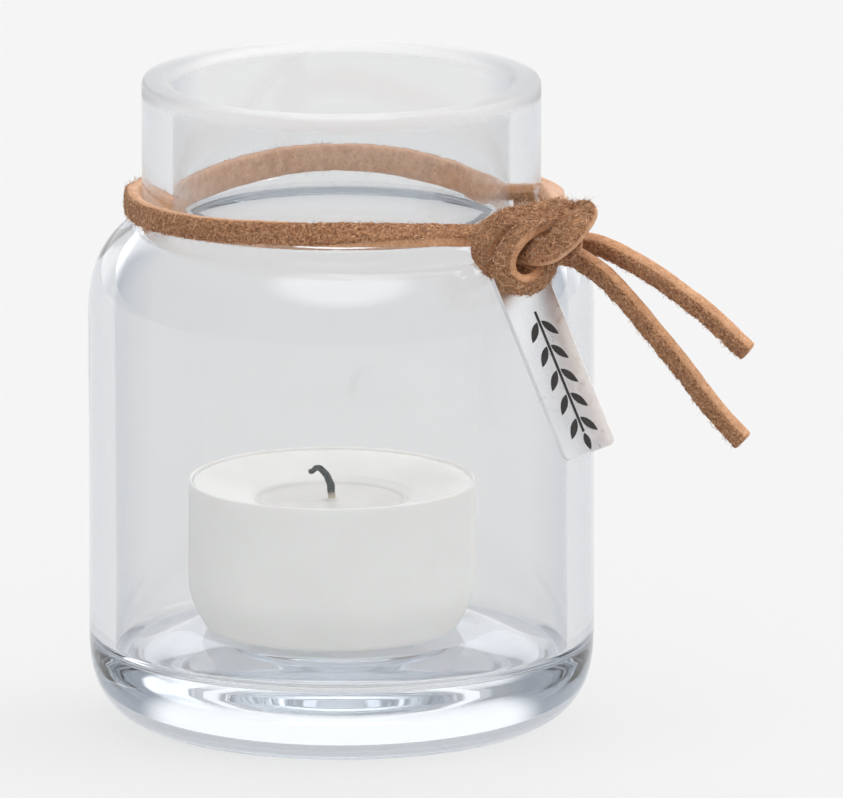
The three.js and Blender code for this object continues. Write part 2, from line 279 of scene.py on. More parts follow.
def leather_material():
    """Suede where the attribute suede is 1, smooth grain where it is 0, and the cut edge between."""
    m = Material("lace_leather")
    suede = m.attribute("suede")
    fuzz = m.noise(2.6, 6, 0.75, distortion=0.6)
    blotches = m.noise(0.35, 3)
    rough = m.ramp(
        fuzz,
        [
            (0.34, (0.045, 0.02, 0.011)), (0.45, (0.24, 0.105, 0.048)),
            (0.54, (0.50, 0.245, 0.12)), (0.66, (0.86, 0.54, 0.32)),
        ],
    )
    rough = m.mix(m.math("MULTIPLY", blotches, 0.5), rough, (0.36, 0.17, 0.08))
    grain = m.ramp(m.noise(0.8, 4), [(0.3, (0.54, 0.265, 0.125)), (0.7, (0.74, 0.42, 0.235))])
    grain = m.mix(m.ramp(m.noise(3.4, 4), [(0.5, (0,) * 3), (0.7, (0.75,) * 3)]), grain, (0.30, 0.125, 0.05))
    edge = m.ramp(m.math("SUBTRACT", suede, 0.12), [(0.30, (0, 0, 0)), (0.62, (1, 1, 1))])
    m.link(m.mix(edge, grain, rough), m.shader.inputs["Base Color"])
    m.link(m.mix(edge, (0.5,) * 3, (0.95,) * 3), m.shader.inputs["Roughness"])
    m.set(Sheen_Weight=0.06, Sheen_Roughness=0.5, IOR=1.40)
    coarse = m.bump(m.math("MULTIPLY", fuzz, edge), 0.22)
    m.link(m.bump(m.noise(1.4, 4, stretch=(1, 1, 1)), 0.05, normal=coarse), m.shader.inputs["Normal"])
    return m.material


def fibre_material():
    m = Material("lace_fibre")
    tone = m.attribute("tone")
    colour = m.ramp(
        tone,
        [
            (0.0, (0.14, 0.055, 0.024)), (0.4, (0.42, 0.20, 0.095)),
            (0.75, (0.74, 0.44, 0.25)), (1.0, (0.92, 0.70, 0.50)),
        ],
    )
    m.link(colour, m.shader.inputs["Base Color"])
    m.set(Roughness=0.85, Sheen_Weight=0.04)
    m.link(m.bump(m.noise(6.0, 2), 0.01), m.shader.inputs["Normal"])
    return m.material


def tag_material():
    m = Material("tag_metal")
    brushed = m.noise(1.2, 4, 0.6, (6, 6, 0.35))
    satin = m.ramp(brushed, [(0.3, (0.80, 0.805, 0.81)), (0.7, (0.90, 0.90, 0.90))])
    m.link(satin, m.shader.inputs["Base Color"])
    m.set(Metallic=1.0)
    m.link(m.ramp(m.noise(0.9, 5), [(0.3, (0.26,) * 3), (0.7, (0.38,) * 3)]), m.shader.inputs["Roughness"])
    m.link(m.bump(brushed, 0.01, 0.6), m.shader.inputs["Normal"])
    return m.material


def enamel_material():
    m = Material("tag_enamel")
    ink = m.ramp(m.noise(2.5, 4), [(0.3, (0.008, 0.007, 0.007)), (0.75, (0.035, 0.03, 0.028))])
    m.link(ink, m.shader.inputs["Base Color"])
    m.link(m.ramp(m.noise(1.5, 3), [(0.3, (0.30,) * 3), (0.7, (0.5,) * 3)]), m.shader.inputs["Roughness"])
    m.link(m.bump(m.noise(2.0, 3), 0.02), m.shader.inputs["Normal"])
    return m.material


# ---- mesh helpers ---------------------------------------------------------------------------------
def add_piece(name, vertices, faces, body, materials, attributes=None, material_indices=None):
    """A smooth mesh piece in metres from points in millimetres, riding on a body."""
    mesh = bpy.data.meshes.new(name)
    mesh.from_pydata([tuple(v) for v in np.asarray(vertices, float) * MM], [], [tuple(f) for f in faces])
    mesh.validate()
    mesh.polygons.foreach_set("use_smooth", [True] * len(mesh.polygons))
    for key, values in (attributes or {}).items():
        layer = mesh.attributes.new(key, "FLOAT", "POINT")
        layer.data.foreach_set("value", np.asarray(values, np.float32))
    for material in materials:
        mesh.materials.append(material)
    if material_indices is not None:
        mesh.polygons.foreach_set("material_index", material_indices)
    piece = bpy.data.objects.new(name, mesh)
    bpy.context.scene.collection.objects.link(piece)
    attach(piece, body)
    return piece


def arc(centre_r, centre_z, across, up, from_angle, to_angle, step=4.0):
    """Points [radius, height] on part of an ellipse, between two angles in degrees."""
    count = max(2, round(abs(to_angle - from_angle) / step))
    angles = [math.radians(from_angle + (to_angle - from_angle) * i / count) for i in range(count + 1)]
    return [(centre_r + across * math.cos(a), centre_z + up * math.sin(a)) for a in angles]


def with_supports(profile, near=0.12, spacing=1.6):
    """The profile with extra points on its long straight runs, close to each end and evenly between."""
    out = [profile[0]]
    for (r0, z0), (r1, z1) in zip(profile, profile[1:]):
        length = math.hypot(r1 - r0, z1 - z0)
        if length < 1e-6:
            continue
        if length > 1.2:
            inner = max(1, round((length - 2 * near) / spacing))
            places = [near + (length - 2 * near) * i / inner for i in range(inner + 1)]
            out += [(r0 + (r1 - r0) * p / length, z0 + (z1 - z0) * p / length) for p in places]
        out.append((r1, z1))
    return out


def turned(profile, segments, wobble=None, centre=(0, 0)):
    """Vertices and faces of a profile turned about a vertical axis. A first or last point on the axis
    becomes one vertex; otherwise the profile has to close on itself."""
    closed = profile[0][0] > 1e-9
    points = profile[:-1] if closed else profile
    vertices, rings = [], []
    for r, z in points:
        if r < 1e-9:
            rings.append([len(vertices)])
            vertices.append((centre[0], centre[1], z))
            continue
        rings.append(list(range(len(vertices), len(vertices) + segments)))
        for i in range(segments):
            angle = 2 * math.pi * i / segments
            x, y = r * math.cos(angle), r * math.sin(angle)
            if wobble is not None:
                dr, dz = wobble(x, y, z)
                x, y = x * (1 + dr / r), y * (1 + dr / r)
                vertices.append((centre[0] + x, centre[1] + y, z + dz))
            else:
                vertices.append((centre[0] + x, centre[1] + y, z))
    faces = []
    pairs = list(zip(rings, rings[1:])) + ([(rings[-1], rings[0])] if closed else [])
    for low, high in pairs:
        for i in range(segments):
            j = (i + 1) % segments
            if len(low) == 1:
                faces.append((low[0], high[j], high[i]))
            elif len(high) == 1:
                faces.append((low[i], low[j], high[0]))
            else:
                faces.append((low[i], low[j], high[j], high[i]))
    return vertices, faces


def smooth_route(points, step):
    """A centripetal Catmull-Rom curve through rows of numbers whose first three are a place, as rows
    an even step apart."""
    rows = np.asarray(points, float)
    rows = np.vstack([2 * rows[0] - rows[1], rows, 2 * rows[-1] - rows[-2]])
    dense = []
    for a, b, c, d in zip(rows, rows[1:], rows[2:], rows[3:]):
        knots = [0.0]
        for p, q in ((a, b), (b, c), (c, d)):
            knots.append(knots[-1] + max(np.linalg.norm((q - p)[:3]), 1e-6) ** 0.5)
        t0, t1, t2, t3 = knots
        for t in np.linspace(t1, t2, 24, endpoint=False):
            a1 = (t1 - t) / (t1 - t0) * a + (t - t0) / (t1 - t0) * b
            a2 = (t2 - t) / (t2 - t1) * b + (t - t1) / (t2 - t1) * c
            a3 = (t3 - t) / (t3 - t2) * c + (t - t2) / (t3 - t2) * d
            b1 = (t2 - t) / (t2 - t0) * a1 + (t - t0) / (t2 - t0) * a2
            b2 = (t3 - t) / (t3 - t1) * a2 + (t - t1) / (t3 - t1) * a3
            dense.append((t2 - t) / (t2 - t1) * b1 + (t - t1) / (t2 - t1) * b2)
    dense.append(rows[-2])
    dense = np.array(dense)
    along = np.concatenate([[0], np.cumsum(np.linalg.norm(np.diff(dense[:, :3], axis=0), axis=1))])
    count = max(2, round(along[-1] / step))
    places = np.linspace(0, along[-1], count + 1)
    return np.column_stack([np.interp(places, along, dense[:, i]) for i in range(dense.shape[1])])


# ---- glass jar ------------------------------------------------------------------------------------
RIM_GROUND = 1.25
HEEL_ACROSS = 8.8
HEEL_UP = 14.0
HEEL_EASE = 3.2
HEEL_ROUND = 0.55
CORNER_ACROSS = 1.8
CORNER_UP = 1.8
FLOOR_SAG = 2.2
SAG_START = 18.5
INNER_SHOULDER_END = 60
FLARE_TOP = 71.5
INNER_RIM = 1.3


def ease(value, low, high):
    """0 below low, 1 above high, and a smooth rise between."""
    share = max(0.0, min(1.0, (value - low) / (high - low)))
    return share * share * (3 - 2 * share)


def jar_profile():
    shoulder_across, shoulder_up, shoulder_z = 10.7, 12.5, 56.2
    fillet = 1.0
    shoulder_centre = BODY_RADIUS - shoulder_across
    shoulder_end = math.degrees(math.acos((NECK_RADIUS + fillet - shoulder_centre) / shoulder_across))
    shoulder = arc(shoulder_centre, shoulder_z, shoulder_across, shoulder_up, 0, shoulder_end)
    neck_z = shoulder[-1][1] + 1.3 * fillet
    top = shoulder[-1][1]
    throat = [
        (NECK_RADIUS + fillet * (1 - s) ** 2 * 0.9, top + (neck_z - top) * (0.15 + 0.85 * s))
        for s in (0.15, 0.35, 0.55, 0.75, 0.9)
    ]
    rim = 0.5
    outer_rim = arc(NECK_RADIUS - rim, JAR_HEIGHT - 1.8 * rim, rim, 1.8 * rim, 0, 90, 15)
    inner_rim = arc(BORE_RADIUS + INNER_RIM, JAR_HEIGHT - INNER_RIM, INNER_RIM, INNER_RIM, 90, 180, 12)
    inner_across, inner_up, inner_z = 8.6, 11.0, 55.6
    inner_centre = INNER_RADIUS - inner_across
    inner_shoulder = arc(inner_centre, inner_z, inner_across, inner_up, INNER_SHOULDER_END, 0)
    start, slope = Vector(inner_shoulder[0]), math.radians(INNER_SHOULDER_END)
    bend = start.y + (start.x - BORE_RADIUS) * inner_up * math.cos(slope) / (inner_across * math.sin(slope))
    flare = [
        (
            (1 - s) ** 2 * BORE_RADIUS + 2 * s * (1 - s) * BORE_RADIUS + s * s * start.x,
            (1 - s) ** 2 * FLARE_TOP + 2 * s * (1 - s) * bend + s * s * start.y,
        )
        for s in np.linspace(0, 0.93, 12)
    ]
    corner_r, corner_z = INNER_RADIUS - CORNER_ACROSS, FLOOR_Z - FLOOR_SAG + CORNER_UP
    floor_corner = arc(corner_r, corner_z, CORNER_ACROSS, CORNER_UP, 0, -90)
    sag = [
        (r, FLOOR_Z - FLOOR_SAG * ease(r, SAG_START, corner_r))
        for r in np.linspace(corner_r - 0.4, SAG_START, 10)
    ]
    heel = [
        (
            BODY_RADIUS - HEEL_ACROSS + HEEL_ACROSS * (1 - (1 - s * s) ** HEEL_EASE) ** HEEL_ROUND,
            HEEL_UP * s * s,
        )
        for s in np.linspace(0, 1, 26)
    ]
    return with_supports(
        [(0, 0), *heel, *shoulder, *throat, (NECK_RADIUS, neck_z), *outer_rim, *inner_rim,
         *flare, *inner_shoulder, *floor_corner, *sag, (0, FLOOR_Z)]
    )


def jar_wobble(x, y, z):
    """The slight unevenness that a pressed glass wall has, strongest on the inside."""
    inside = math.hypot(x, y) < INNER_RADIUS + 0.01 and z > FLOOR_Z - 0.01
    size = (0.05 if inside else 0.012) * ease(z, FLOOR_Z, FLOOR_Z + 12)
    place = Vector((x * 0.06, y * 0.06, z * 0.05))
    return size * (noise.noise(place) - (0 if inside else 1)), 0.0


def make_jar():
    vertices, faces = turned(jar_profile(), 224, jar_wobble)
    ground = [max(0.0, min(1.0, (z - JAR_HEIGHT + RIM_GROUND) / 0.3)) for x, y, z in vertices]
    jar = add_piece("jar", vertices, faces, "jar", [glass_material()], {"ground": ground})
    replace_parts(jar, "glass_jar")


# ---- tealight -------------------------------------------------------------------------------------
CUP_WALL = 0.45
CUP_FOOT_RADIUS = 17.2
CUP_TAPER = 6.6
POOL_RADIUS = 9.9
POOL_Z = CUP_RIM_Z - 3.0


def make_cup():
    low = CUP_LOW.z
    outer = [(0, low), (CUP_FOOT_RADIUS - 1.6, low)]
    outer += arc(CUP_FOOT_RADIUS - 1.6, low + 1.5, 1.6, 1.5, -90, -15, 9)
    flare = CUP_RADIUS - CUP_FOOT_RADIUS
    outer += [
        (CUP_FOOT_RADIUS + flare * math.sin(math.pi / 2 * s), low + 1.1 + (CUP_TAPER - 1.1) * s)
        for s in (0.15, 0.3, 0.5, 0.7, 0.85, 1.0)
    ]
    inner = [(r - CUP_WALL, z + 0.1) for r, z in outer[2:]][::-1]
    rim = arc(CUP_RADIUS - CUP_WALL / 2, CUP_RIM_Z - CUP_WALL / 2, CUP_WALL / 2, CUP_WALL / 2, 0, 180, 20)
    floor_z = low + CUP_WALL
    inner = [(r, max(z, floor_z)) for r, z in inner]
    profile = with_supports([*outer, *rim, *inner, (0, floor_z)])
    vertices, faces = turned(profile, 160, centre=(CANDLE_X, 0))
    cup = add_piece("cup", vertices, faces, "candle", [cup_material()])
    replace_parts(cup, "candle_cup")


def wax_relief(x, y, z):
    """Soft ripples on the burnt top, and none on the side."""
    r = math.hypot(x, y)
    if z < POOL_Z - 0.5 or r > CUP_RADIUS - 1.2:
        return 0.0, 0.0
    place = Vector((x * 0.28, y * 0.28, 3.1))
    size = 0.10 if r > POOL_RADIUS else 0.03
    return 0.0, size * noise.noise(place) + 0.3 * size * noise.noise(place * 3.3)


def make_wax():
    low = CUP_LOW.z + CUP_WALL + 0.15
    wall = CUP_RADIUS - CUP_WALL - 0.05
    foot = CUP_FOOT_RADIUS - CUP_WALL - 0.05
    side = [(0, low), (foot - 1.2, low)]
    side += arc(foot - 1.2, low + 1.1, 1.2, 1.1, -90, -10, 10)
    side += [
        (foot + (wall - foot) * math.sin(math.pi / 2 * s), low + 1.0 + (CUP_TAPER - 1.0) * s)
        for s in (0.2, 0.4, 0.6, 0.8, 1.0)
    ]
    top = CUP_RIM_Z - 0.35
    lip = arc(wall - 0.35, top - 0.35, 0.35, 0.35, 0, 90, 15)
    dish = []
    for s in np.linspace(0.08, 0.92, 16):
        r = wall - 1.0 + (POOL_RADIUS + 0.5 - wall + 1.0) * s
        dish.append((r, top - (top - POOL_Z - 0.55) * (s ** 1.15)))
    pool_edge = arc(POOL_RADIUS + 0.45, POOL_Z + 0.45, 0.45, 0.45, 180, 260, 20)[::-1]
    pool = [(r, POOL_Z + 0.004 * (r - 5) ** 2 * (r > 5)) for r in np.linspace(POOL_RADIUS - 0.3, 1.0, 18)]
    wick_swell = [(0.8, POOL_Z + 0.10), (0.62, POOL_Z + 0.30), (0, POOL_Z + 0.36)]
    profile = with_supports([*side, *lip, (wall - 0.8, top - 0.02), *dish, *pool_edge, *pool, *wick_swell])
    vertices, faces = turned(profile, 160, wax_relief, centre=(CANDLE_X, 0))
    rim_of_pool = [
        max(0.0, min(1.0, (POOL_RADIUS + 0.15 - math.hypot(x - CANDLE_X, y)) / 0.5)) * (z > POOL_Z - 0.5)
        for x, y, z in vertices
    ]
    wax = add_piece("wax", vertices, faces, "candle", [wax_material()], {"pool": rim_of_pool})
    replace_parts(wax, "candle_wax")


WICK_RADIUS = 0.55
WICK_CURL = [
    [0, 0], [-0.1, 1.2], [-0.25, 2.2], [-0.85, 3.4], [-1.5, 4.1], [-2.15, 4.15], [-2.65, 3.75], [-3.1, 3.8],
]


def make_wick():
    """Three braided strands that wind round each other, thinning towards the burnt tip."""
    route = smooth_route([(CANDLE_X + right, 0, POOL_Z + 0.1 + above) for right, above in WICK_CURL], 0.06)
    around = 18
    vertices, faces, burnt = [], [], []
    side = Vector((0, 1, 0))
    for i, place in enumerate(route):
        before, after = route[max(0, i - 1)], route[min(len(route) - 1, i + 1)]
        tangent = Vector(after - before).normalized()
        across = (side - tangent * side.dot(tangent)).normalized()
        up = tangent.cross(across)
        share = i / (len(route) - 1)
        taper = 1.0 - 0.42 * share ** 2
        if i >= len(route) - 3:
            taper *= (0.9, 0.7, 0.4)[i - len(route) + 3]
        for j in range(around):
            angle = 2 * math.pi * j / around
            plait = 0.80 + 0.20 * abs(math.cos(1.5 * (angle - share * 9.0)))
            lump = 1 + 0.16 * noise.noise(Vector((j * 0.9, i * 0.22, 4.0)))
            radius = WICK_RADIUS * taper * plait * lump
            vertices.append(Vector(place) + radius * (math.cos(angle) * across + math.sin(angle) * up))
            ragged = 0.05 * noise.noise(Vector((j, i * 0.3, 1)))
            burnt.append(min(1.0, max(0.0, (share - 0.10 + ragged) * 12)))
        if i:
            low, high = (i - 1) * around, i * around
            for j in range(around):
                k = (j + 1) % around
                faces.append((low + j, low + k, high + k, high + j))
    for ring, flip in ((0, True), ((len(route) - 1) * around, False)):
        cap = list(range(ring, ring + around))
        faces.append(tuple(reversed(cap)) if flip else tuple(cap))
    wick = add_piece(
        "wick_braid", vertices, faces, "candle", [wick_material()], {"burnt": burnt}
    )
    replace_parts(wick, "wick")


# ---- lace -----------------------------------------------------------------------------------------
FIBRE_SEED = 7
END_ROUNDING = 0.35
LOOP_FIBRES = 5200
TAIL_FIBRES = 1100
KNOT_FIBRE_SIZE = 1.5
TAIL_FIBRE_SIZE = 0.9
STRAND_STEP = 0.14
LOOP_STEP = 0.2


def lace_section(count=36, power=5.0):
    """Points round a rounded rectangle with half sides of 1, as (across, out), and how suede-like each
    one's face is: 1 on the rough face, 0 on the smooth one, and about a half on the cut edges."""
    points = []
    for j in range(count):
        angle = 2 * math.pi * (j + 0.5) / count
        c, s = math.cos(angle), math.sin(angle)
        scale = (abs(c) ** power + abs(s) ** power) ** (-1 / power)
        across, out = c * scale, s * scale
        points.append((across, out, 0.5 + 0.5 * math.tanh(2.6 * (out - 0.25 * abs(across)) ** 3 * 2)))
    return points


def lace_strand(route, outward, width=LACE_WIDTH, thickness=LACE_THICKNESS, step=STRAND_STEP, seed=0.0):
    """A stretch of lace along rows of (x, y, z, roll in degrees). The rough face looks along outward(place),
    turned by the roll about the lace. Returns vertices, faces, suede values and the frames along it."""
    rows = smooth_route(route, step)
    section = lace_section()
    around = len(section)
    vertices, faces, suede, frames = [], [], [], []
    length = step * (len(rows) - 1)
    for i, row in enumerate(rows):
        before, after = rows[max(0, i - 1)], rows[min(len(rows) - 1, i + 1)]
        place = Vector(row[:3])
        tangent = Vector((after - before)[:3]).normalized()
        face = Vector(outward(place))
        face = (face - tangent * face.dot(tangent)).normalized()
        face = Matrix.Rotation(math.radians(row[3]), 3, tangent) @ face
        side = tangent.cross(face)
        frames.append((place, tangent, side, face))
        rounding = 1.0
        for distance in (i * step, length - i * step):
            if distance < END_ROUNDING:
                rounding *= 0.72 + 0.28 * math.sqrt(max(0.0, 1 - (1 - distance / END_ROUNDING) ** 2))
        swell = 1 + 0.05 * noise.noise(Vector((i * step * 0.35, seed, 0)))
        for j, (across, out, rough) in enumerate(section):
            point = place + side * (across * width / 2 * rounding * swell)
            point += face * (out * thickness / 2 * rounding / swell)
            normal = (side * across * abs(across) ** 3 + face * out * abs(out) ** 3).normalized()
            grit = noise.noise(point * 2.1 + Vector((seed, 0, 0))) + 0.6 * noise.noise(point * 4.7)
            lumps = noise.noise(point * 0.75 + Vector((0, seed, 0)))
            point += normal * ((0.02 + 0.15 * rough) * grit + (0.03 + 0.09 * rough) * lumps)
            vertices.append(point)
            suede.append(rough)
        if i:
            low, high = (i - 1) * around, i * around
            for j in range(around):
                k = (j + 1) % around
                faces.append((low + j, low + k, high + k, high + j))
    for ring, flip in ((0, True), ((len(rows) - 1) * around, False)):
        centre = len(vertices)
        vertices.append(sum((vertices[ring + j] for j in range(around)), Vector()) / around)
        suede.append(0.4)
        for j in range(around):
            k = (j + 1) % around
            faces.append((ring + k, ring + j, centre) if flip else (ring + j, ring + k, centre))
    return vertices, faces, suede, frames


def fibres(frames, count, width, thickness, rng, size=1.0):
    """Loose suede fibres on the rough face and round its corners, as thin bent three-sided tubes."""
    vertices, faces, tones = [], [], []
    for _ in range(count):
        place, tangent, side, face = frames[rng.randrange(len(frames))]
        across = rng.uniform(-1.08, 1.08)
        over = max(0.0, abs(across) - 0.85) / 0.23
        out = 1.0 - 0.55 * over * rng.random()
        root = place + side * (min(1, abs(across)) * math.copysign(width / 2, across))
        root += face * (out * thickness / 2)
        normal = (face * (1 - 0.6 * over) + side * math.copysign(0.8 * over, across)).normalized()
        lay = (tangent * rng.gauss(0, 1) + side * rng.gauss(0, 0.8)).normalized()
        reach = rng.uniform(0.25, 0.75) * size
        radius = rng.uniform(0.022, 0.042) * size ** 0.5
        lift = rng.uniform(0.06, 0.22) if rng.random() < 0.9 else rng.uniform(0.25, 0.55)
        tone = min(1.0, max(0.0, rng.gauss(0.55, 0.28)))
        curl = (tangent * rng.gauss(0, 1) + side * rng.gauss(0, 1)).normalized()
        base = len(vertices)
        steps = 4
        for i in range(steps):
            s = i / (steps - 1)
            centre = root + normal * (reach * lift * math.sin(2.2 * s) - 0.05) + lay * (reach * s)
            centre += curl * (0.35 * reach * s * s)
            thin = radius * (1 - 0.75 * s)
            for j in range(3):
                angle = 2 * math.pi * j / 3
                corner = centre + normal * (thin * math.cos(angle))
                corner += lay.cross(normal) * (thin * math.sin(angle))
                vertices.append(corner)
                tones.append(tone)
            if i:
                low, high = base + 3 * (i - 1), base + 3 * i
                for j in range(3):
                    k = (j + 1) % 3
                    faces.append((low + j, low + k, high + k, high + j))
        faces.append((base + 2, base + 1, base))
        faces.append((base + 3 * (steps - 1), base + 3 * (steps - 1) + 1, base + 3 * (steps - 1) + 2))
    return vertices, faces, tones


class Lace:
    """Strands and fibres gathered into one mesh piece."""

    def __init__(self):
        self.vertices, self.faces, self.suede, self.tone, self.kinds = [], [], [], [], []

    def _add(self, vertices, faces, suede, tone, kind):
        start = len(self.vertices)
        self.vertices += [tuple(v) for v in vertices]
        self.faces += [tuple(start + i for i in face) for face in faces]
        self.suede += suede
        self.tone += tone
        self.kinds += [kind] * len(faces)

    def strand(
        self, route, outward, hairs, rng, width=LACE_WIDTH, thickness=LACE_THICKNESS, hair_size=1.0, **options
    ):
        vertices, faces, suede, frames = lace_strand(route, outward, width, thickness, **options)
        self._add(vertices, faces, suede, [0.5] * len(vertices), 0)
        hair_vertices, hair_faces, tones = fibres(frames, hairs, width, thickness, rng, hair_size)
        self._add(hair_vertices, hair_faces, [1.0] * len(hair_vertices), tones, 1)

    def piece(self, name, materials):
        return add_piece(
            name, self.vertices, self.faces, "lace", materials,
            {"suede": self.suede, "tone": self.tone}, self.kinds,
        )


# The turn round the neck as bearing, radius, height and roll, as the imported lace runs.
LOOP = [
    [48, 29.6, 69.6, 68], [42, 29.2, 69.9, 68], [34, 28.8, 70.3, 66], [26, 28.4, 70.7, 64],
    [16, 28.1, 71.0, 58], [6, 27.9, 71.2, 44], [-8, 27.8, 71.2, 18], [-20, 27.7, 71.1, 2],
    [-36, 27.7, 70.7, 0], [-54, 27.7, 70.4, 0], [-72, 27.7, 70.1, 0], [-90, 27.7, 70.0, 0],
    [-108, 27.7, 69.5, 0], [-126, 27.7, 69.4, 0], [-144, 27.7, 70.0, 0], [-162, 27.7, 70.7, 0],
    [-180, 27.7, 70.9, 0], [-198, 27.7, 70.6, 0], [-216, 27.7, 69.8, 0], [-230, 27.8, 69.2, -14],
    [-242, 28.1, 69.2, -45], [-252, 28.2, 69.5, -76], [-262, 28.1, 70.1, -100],
    [-270, 27.7, 70.6, -110], [-278, 27.7, 71.2, -112],
]


def seen(right, up, near):
    """A place given across, up and towards the front view, in millimetres, as x, y, z."""
    y = math.sin(CAMERA_ELEVATION) * up - math.cos(CAMERA_ELEVATION) * near
    z = math.cos(CAMERA_ELEVATION) * up + math.sin(CAMERA_ELEVATION) * near
    return Vector((right, y, z))


KNOT_EYE = (25.0, 62.3)


def towards(right, up, near):
    """The same rough-face direction all along a strand."""
    direction = seen(right, up, near).normalized()
    return lambda place: direction


def round_eye(lean):
    """The rough face looks to the front and leans outwards from the eye of the knot."""
    eye = seen(*KNOT_EYE, 0)
    near = seen(0, 0, 1)

    def face(place):
        outwards = place - eye
        outwards -= near * outwards.dot(near)
        return near * (1 - lean) + outwards.normalized() * lean

    return face


KNOT_STRANDS = [
    # outer turn, down the left side of the knot
    dict(
        points=[
            [30.4, 66.5, 37.5], [28.9, 66.6, 40.4], [27.2, 66.4, 42.2], [24.7, 66.1, 42.8],
            [22.0, 65.5, 42.9], [20.0, 64.3, 42.8], [18.9, 62.9, 42.6], [18.7, 61.5, 42.1],
            [19.4, 60.2, 41.5], [20.7, 59.2, 40.9], [22.4, 58.8, 40.4], [24.2, 58.9, 39.8],
            [26.0, 59.8, 39.2],
        ],
        face=round_eye(0.42), width=3.2, thickness=1.9, hairs=1300,
    ),
    # inner turn, round the left and the bottom of the eye
    dict(
        points=[
            [29.6, 66.2, 40.0], [28.2, 66.0, 41.8], [26.4, 65.5, 43.2], [24.6, 64.5, 44.4],
            [23.0, 63.0, 45.2], [21.9, 61.4, 45.4], [21.5, 59.8, 45.2], [22.0, 58.1, 44.8],
            [23.4, 57.1, 44.4], [25.0, 57.2, 43.8], [26.3, 58.2, 43.0], [27.1, 59.8, 42.0],
            [27.8, 61.4, 40.8], [28.6, 63.0, 39.6],
        ],
        face=round_eye(0.52), width=2.7, thickness=1.9, hairs=1200,
    ),
    # the wide pass out of the eye, over the right side and round behind
    dict(
        points=[
            [23.4, 62.4, 40.0], [24.2, 61.6, 42.0], [25.4, 61.2, 44.0], [27.0, 61.4, 45.4],
            [28.7, 62.4, 46.0], [30.2, 63.8, 45.6], [31.3, 65.2, 44.4], [31.9, 66.2, 42.8],
            [31.8, 66.5, 41.0], [30.8, 66.2, 39.4], [29.4, 65.6, 38.2],
        ],
        face=towards(-0.28, 0.30, 0.9), width=3.3, thickness=1.9, hairs=1200,
    ),
    # rough fold above the eye, between the turns and the wide pass
    dict(
        points=[
            [27.3, 67.2, 36.8], [27.5, 66.7, 39.2], [28.2, 65.9, 41.6], [29.1, 64.7, 42.8],
            [29.8, 63.2, 42.8], [29.8, 61.6, 41.6],
        ],
        face=towards(-0.15, 0.25, 0.95), width=3.6, thickness=1.8, hairs=420,
    ),
    # smooth inside of the eye
    dict(
        points=[
            [28.6, 65.6, 40.2], [27.0, 64.6, 41.0], [25.6, 63.0, 41.2], [24.6, 61.2, 41.0],
            [24.0, 59.4, 40.8],
        ],
        face=towards(0.1, -0.1, -1.0), width=4.4, thickness=1.6, hairs=0,
    ),
    # the lace coming over from behind the neck, smooth side up
    dict(
        points=[
            [27.3, 69.5, 14.5], [27.5, 69.3, 18.5], [27.9, 68.8, 23.0], [28.3, 68.1, 28.0],
            [28.7, 67.3, 33.0], [29.0, 66.3, 37.0], [28.8, 64.9, 39.4], [28.0, 63.4, 40.0],
        ],
        face=towards(-0.35, -0.75, -0.55), width=3.1, thickness=1.9, hairs=60,
    ),
    # the front end of the turn round the neck, tucked in behind the outer turn
    dict(
        points=[
            [19.6, 63.2, 38.4], [21.4, 63.2, 39.8], [23.6, 63.2, 40.4], [25.8, 63.4, 39.4],
        ],
        face=towards(-0.1, 0.6, 0.8), width=3.0, thickness=1.9, hairs=40,
    ),
    # the strand that goes back through the tag's hole and up behind the tag
    dict(
        points=[
            [21.8, 58.2, 43.2], [22.8, 57.2, 41.6], [23.6, 56.9, 39.6], [23.9, 56.8, 38.4],
            [24.1, 56.6, 37.2], [24.4, 57.2, 35.7], [24.8, 58.6, 35.0], [25.3, 60.4, 34.6],
            [25.7, 62.4, 34.2], [26.6, 64.6, 34.6],
        ],
        face=towards(0.2, -0.9, 0.3), width=1.9, thickness=1.5, hairs=0,
    ),
    # out of the back of the knot and round into the upper tail
    dict(
        points=[
            [27.8, 63.6, 40.2], [26.9, 64.0, 38.4], [26.4, 64.3, 36.2], [26.4, 64.4, 33.8],
            [27.2, 64.0, 31.9], [28.5, 63.4, 31.1], [30.0, 63.0, 31.5], [31.0, 62.85, 32.2],
        ],
        face=towards(-0.53, -0.72, 0.45), width=2.7, thickness=1.95, hairs=120,
    ),
    # out of the back of the knot and round into the lower tail
    dict(
        points=[
            [26.8, 62.1, 40.2], [26.1, 62.4, 38.4], [25.9, 62.4, 36.5], [26.5, 62.1, 34.9],
            [27.6, 61.6, 34.2], [28.9, 61.2, 34.5], [30.0, 60.95, 35.4],
        ],
        face=towards(-0.63, -0.56, 0.54), width=2.7, thickness=1.95, hairs=120,
    ),
]

UPPER_TAIL = [
    [30.0, -17.2, 68.3], [31.9, -18.6, 68.3], [34.3, -21.0, 68.2], [36.9, -23.4, 67.5], [39.5, -25.3, 66.4],
    [42.2, -27.0, 65.0], [44.8, -28.4, 63.3], [47.5, -29.6, 61.5], [49.5, -30.5, 59.9], [51.7, -31.4, 57.9],
    [53.4, -32.0, 56.4],
]
LOWER_TAIL = [
    [28.9, -20.6, 67.2], [30.8, -22.2, 67.0], [32.9, -23.8, 66.1], [35.0, -25.2, 64.7], [36.9, -26.4, 62.9],
    [38.9, -27.5, 60.8], [40.8, -28.5, 58.6], [43.2, -29.6, 55.9], [45.5, -30.5, 53.1], [47.5, -31.3, 50.5],
    [49.5, -32.0, 48.1], [51.2, -32.6, 46.3], [52.8, -33.1, 44.7],
]


def radial(place):
    return Vector((place.x, place.y, 0)).normalized()


def frontward(place):
    return Vector((0, -math.cos(CAMERA_ELEVATION), math.sin(CAMERA_ELEVATION)))


